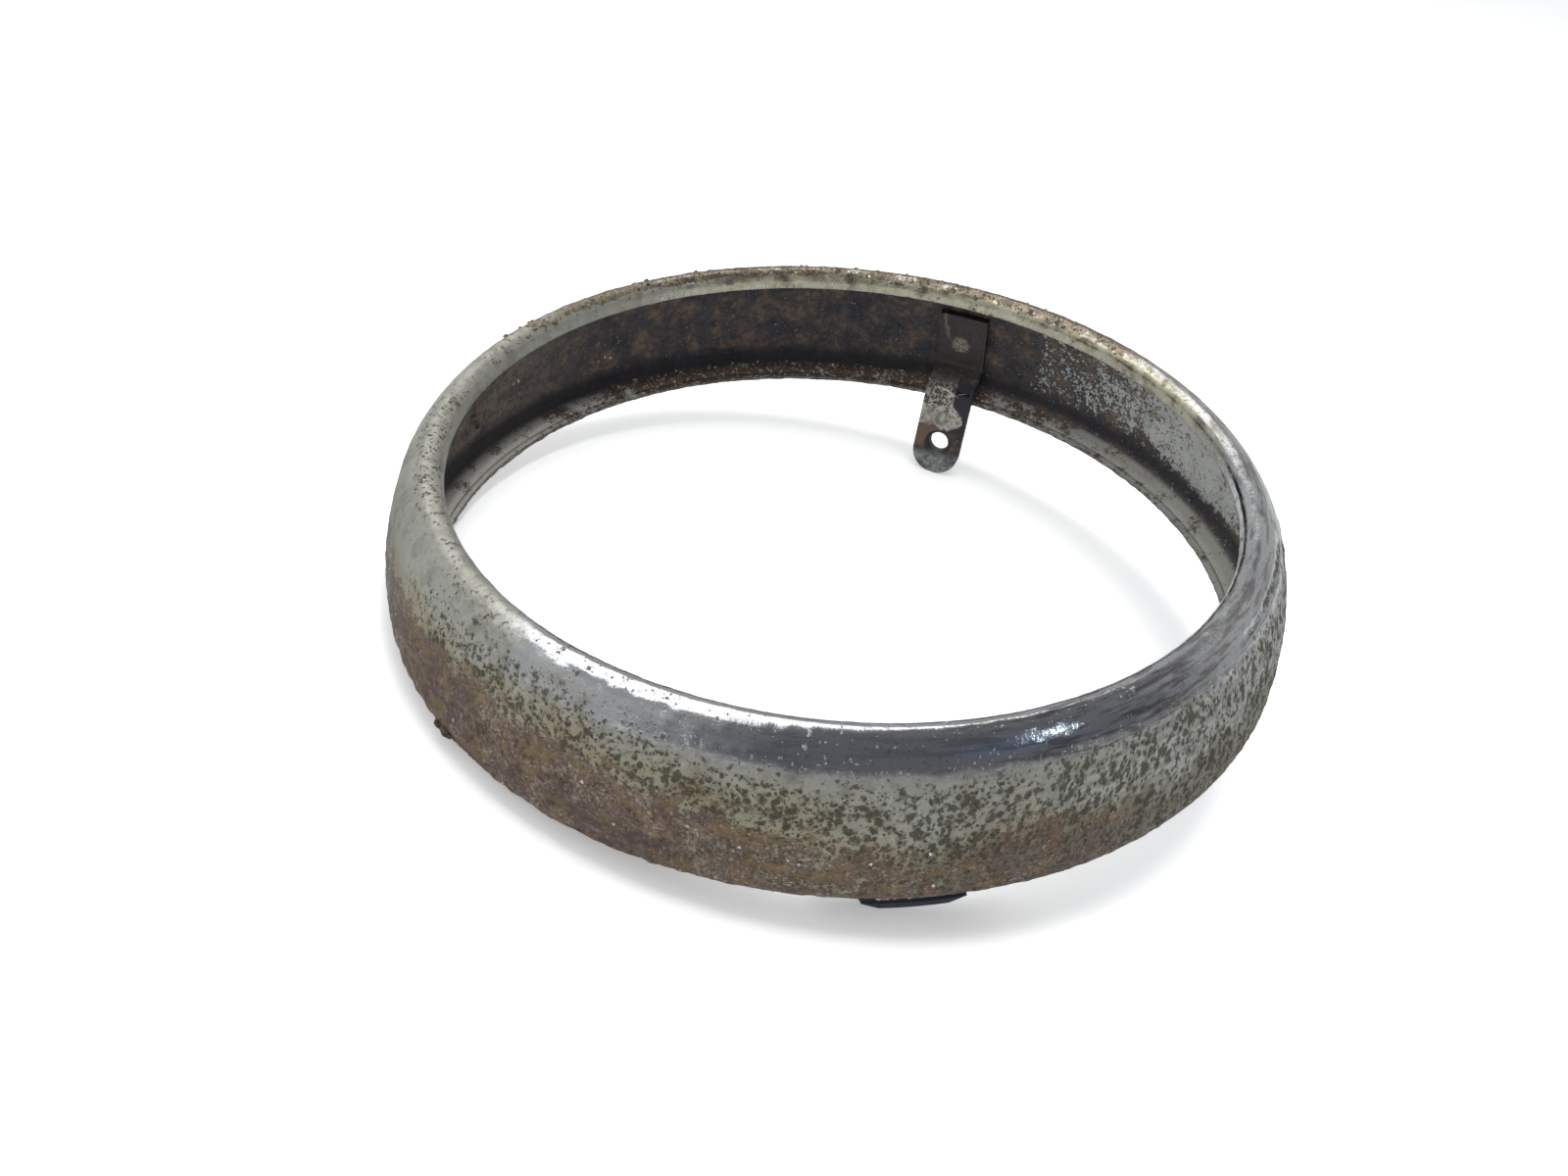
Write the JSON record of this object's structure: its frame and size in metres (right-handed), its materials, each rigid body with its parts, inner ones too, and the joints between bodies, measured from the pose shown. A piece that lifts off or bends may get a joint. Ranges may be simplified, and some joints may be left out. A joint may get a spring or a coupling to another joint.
{
  "type": "headlight surround",
  "caption": "Round flared headlamp rim with a rolled front lip, an inward rear flange, a strap lug with a screw hole and a hook plate inside it",
  "frame": {"origin": "on the rim's axis, level with the tip of the fixing lug, which is the lowest point", "axes": "+Z is the rim's axis towards the front lip, +Y points from the axis to the fixing lug"},
  "size_m": [0.1804, 0.1804, 0.0515],
  "materials": {
    "chrome": "pitted chrome plating over rusty steel",
    "bare_steel": "flaked black paint over dull steel",
    "dark_paint": "worn blue-black paint"
  },
  "bodies": {
    "root": {"rim": "chrome", "fixing_lug": "bare_steel", "hook_plate": "dark_paint"}
  },
  "joints": []
}
